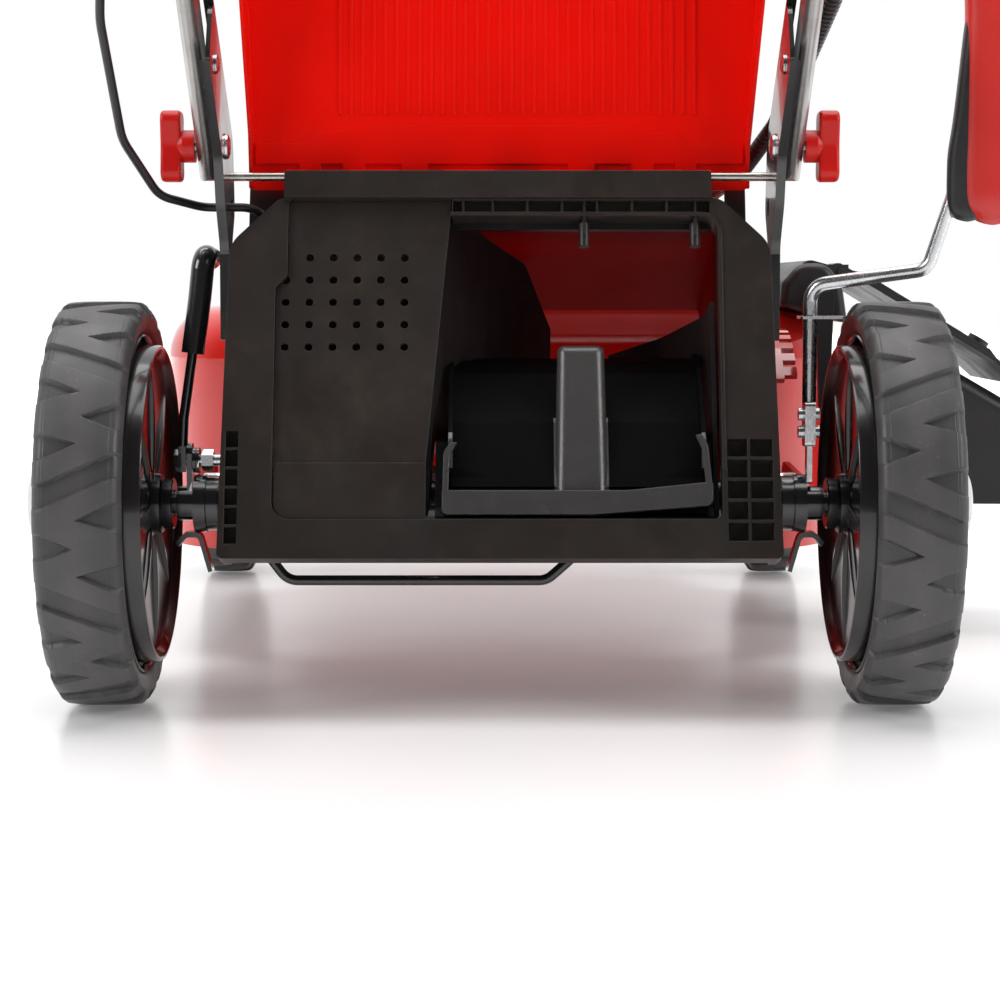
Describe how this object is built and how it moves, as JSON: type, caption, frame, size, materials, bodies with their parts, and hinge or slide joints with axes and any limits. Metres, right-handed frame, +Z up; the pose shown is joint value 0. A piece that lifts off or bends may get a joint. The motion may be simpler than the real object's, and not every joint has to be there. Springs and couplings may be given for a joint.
{
  "type": "lawn mower",
  "caption": "Walk-behind rotary lawn mower with rear discharge frame, raised rear flap, mulch plug, side deflector, height lever and folding handle.",
  "frame": {"origin": "on the ground, in the mower's middle plane, straight below the rear axle", "axes": "+X the mower's right as its user stands behind it, +Y forward, +Z up"},
  "size_m": [0.8005, 1.6594, 1.0801],
  "materials": {
    "red_paint": "gloss",
    "black_plastic": "satin",
    "red_plastic": "satin",
    "black_paint": "gloss",
    "bright_steel": "satin",
    "zinc": "bright",
    "tube_silver": "satin",
    "rubber": "matte",
    "rim_black": "gloss",
    "grip_rubber": "matte",
    "cast_aluminium": "cast",
    "cable_black": "satin",
    "filter_paper": "matte",
    "blade_steel": "satin"
  },
  "bodies": {
    "chassis": {"deck": "red_paint", "height_rack": "red_paint", "discharge_frame": "black_plastic", "discharge_duct": "black_plastic", "guard_rod": "black_paint", "hinge_rod": "bright_steel", "handle_brackets": "black_paint", "chassis_bolts": "zinc", "crankcase": "cast_aluminium", "cylinder": "cast_aluminium", "engine_shroud": "black_plastic", "recoil_cover": "black_plastic", "fuel_tank": "black_plastic", "air_filter_box": "black_plastic", "air_filter": "filter_paper", "carburettor": "cast_aluminium", "muffler": "black_paint", "drive_belt": "grip_rubber", "side_hinge": "black_plastic"},
    "rear_carriage": {"rear_axle": "black_paint", "axle_brackets": "black_paint", "left_lever": "black_paint", "height_lever_rod": "zinc", "height_lever_grip": "red_plastic"},
    "gearbox_pulley": {"gearbox_pulley": "black_paint"},
    "rear_wheel_right": {"rear_tyre_right": "rubber", "rear_rim_right": "rim_black"},
    "rear_wheel_left": {"rear_tyre_left": "rubber", "rear_rim_left": "rim_black"},
    "front_carriage": {"front_axle": "black_paint", "front_lever": "black_paint"},
    "front_wheel_right": {"front_tyre_right": "rubber", "front_rim_right": "rim_black"},
    "front_wheel_left": {"front_tyre_left": "rubber", "front_rim_left": "rim_black"},
    "mulch_plug": {"mulch_plug": "black_plastic"},
    "rear_flap": {"rear_flap": "red_plastic"},
    "lower_handle": {"lower_handle": "tube_silver", "fold_bolts": "zinc", "drive_cable_lower": "cable_black", "brake_cable_conduit": "cable_black"},
    "lower_knob_right": {"lower_knob_right": "red_plastic"},
    "lower_knob_left": {"lower_knob_left": "red_plastic"},
    "upper_handle": {"upper_handle": "tube_silver", "handle_grip_sleeve": "grip_rubber", "bail_mounts": "black_plastic", "upper_cables": "cable_black"},
    "fold_knob_right": {"fold_knob_right": "red_plastic"},
    "fold_knob_left": {"fold_knob_left": "red_plastic"},
    "brake_bail": {"brake_bail": "black_paint"},
    "drive_bail": {"drive_bail": "black_paint"},
    "starter_handle": {"starter_handle": "black_plastic"},
    "fuel_cap": {"fuel_cap": "black_plastic"},
    "oil_cap": {"oil_cap": "black_plastic"},
    "rotor": {"flywheel": "cast_aluminium", "blade_adapter": "bright_steel", "blade": "blade_steel"},
    "side_flap": {"side_flap": "black_plastic"},
    "side_deflector": {"side_deflector": "black_plastic"}
  },
  "joints": [
    {"name": "rear_height_swing", "type": "hinge", "parent": "chassis", "child": "rear_carriage", "pos_m": [0, 0.075, 0.15], "axis": [1, 0, 0], "range_deg": [-20, 8], "deforming": ["drive_belt"]},
    {"name": "front_height_swing", "type": "hinge", "parent": "chassis", "child": "front_carriage", "pos_m": [0, 0.875, 0.11], "axis": [1, 0, 0], "range_deg": [-20, 8]},
    {"name": "rear_wheel_right_spin", "type": "hinge", "parent": "rear_carriage", "child": "rear_wheel_right", "pos_m": [0.2725, 0, 0.14], "axis": [1, 0, 0], "continuous": true},
    {"name": "rear_wheel_left_spin", "type": "hinge", "parent": "rear_carriage", "child": "rear_wheel_left", "pos_m": [-0.2725, 0, 0.14], "axis": [1, 0, 0], "continuous": true},
    {"name": "front_wheel_right_spin", "type": "hinge", "parent": "front_carriage", "child": "front_wheel_right", "pos_m": [0.275, 0.8, 0.1], "axis": [1, 0, 0], "continuous": true},
    {"name": "front_wheel_left_spin", "type": "hinge", "parent": "front_carriage", "child": "front_wheel_left", "pos_m": [-0.275, 0.8, 0.1], "axis": [1, 0, 0], "continuous": true},
    {"name": "blade_spin", "type": "hinge", "parent": "chassis", "child": "rotor", "pos_m": [0, 0.427, 0.2], "axis": [0, 0, 1], "continuous": true},
    {"name": "gearbox_pulley_spin", "type": "hinge", "parent": "rear_carriage", "child": "gearbox_pulley", "pos_m": [-0.104, 0.024, 0.205], "axis": [0, 0, 1], "continuous": true},
    {"name": "rear_flap_hinge", "type": "hinge", "parent": "chassis", "child": "rear_flap", "pos_m": [0, 0.01, 0.366], "axis": [1, 0, 0], "range_deg": [0, 150]},
    {"name": "mulch_plug_pull", "type": "slide", "parent": "chassis", "child": "mulch_plug", "axis": [0, 1, 0], "range_m": [-0.13, 0]},
    {"name": "handle_fold", "type": "hinge", "parent": "chassis", "child": "lower_handle", "pos_m": [0, -0.022, 0.385], "axis": [1, 0, 0], "range_deg": [-128, 0], "deforming": ["drive_cable_lower", "brake_cable_conduit"]},
    {"name": "upper_handle_fold", "type": "hinge", "parent": "lower_handle", "child": "upper_handle", "pos_m": [0, -0.31926, 0.65265], "axis": [-1, 0, 0], "range_deg": [0, 130], "deforming": ["upper_cables"]},
    {"name": "lower_knob_right_turn", "type": "hinge", "parent": "chassis", "child": "lower_knob_right", "pos_m": [0.21, -0.022, 0.385], "axis": [1, 0, 0], "continuous": true},
    {"name": "fold_knob_right_turn", "type": "hinge", "parent": "lower_handle", "child": "fold_knob_right", "pos_m": [0.21, -0.31926, 0.65265], "axis": [1, 0, 0], "continuous": true},
    {"name": "lower_knob_left_turn", "type": "hinge", "parent": "chassis", "child": "lower_knob_left", "pos_m": [-0.21, -0.022, 0.385], "axis": [1, 0, 0], "continuous": true},
    {"name": "fold_knob_left_turn", "type": "hinge", "parent": "lower_handle", "child": "fold_knob_left", "pos_m": [-0.21, -0.31926, 0.65265], "axis": [1, 0, 0], "continuous": true},
    {"name": "brake_bail_swing", "type": "hinge", "parent": "upper_handle", "child": "brake_bail", "pos_m": [0, -0.63152, 0.96342], "axis": [1, 0, 0], "range_deg": [0, 22]},
    {"name": "drive_bail_swing", "type": "hinge", "parent": "upper_handle", "child": "drive_bail", "pos_m": [0, -0.64001, 0.90916], "axis": [1, 0, 0], "range_deg": [-22, 0]},
    {"name": "starter_pull", "type": "slide", "parent": "chassis", "child": "starter_handle", "axis": [0.2802, -0.7698, 0.5736], "range_m": [0, 0.25]},
    {"name": "fuel_cap_turn", "type": "hinge", "parent": "chassis", "child": "fuel_cap", "pos_m": [-0.082, 0.285, 0.41], "axis": [0, 0, 1], "continuous": true},
    {"name": "oil_cap_turn", "type": "hinge", "parent": "chassis", "child": "oil_cap", "pos_m": [-0.086, 0.527, 0.34], "axis": [0, 0, 1], "continuous": true},
    {"name": "side_flap_hinge", "type": "hinge", "parent": "chassis", "child": "side_flap", "pos_m": [0.275, 0.4, 0.302], "axis": [0, -1, 0], "range_deg": [0, 75]},
    {"name": "side_deflector_pull", "type": "slide", "parent": "chassis", "child": "side_deflector", "axis": [0.8572, 0, -0.515], "range_m": [0, 0.09]}
  ],
  "couplings": [
    {"joint": "gearbox_pulley_spin", "follows": "blade_spin", "ratio": 0.84}
  ]
}
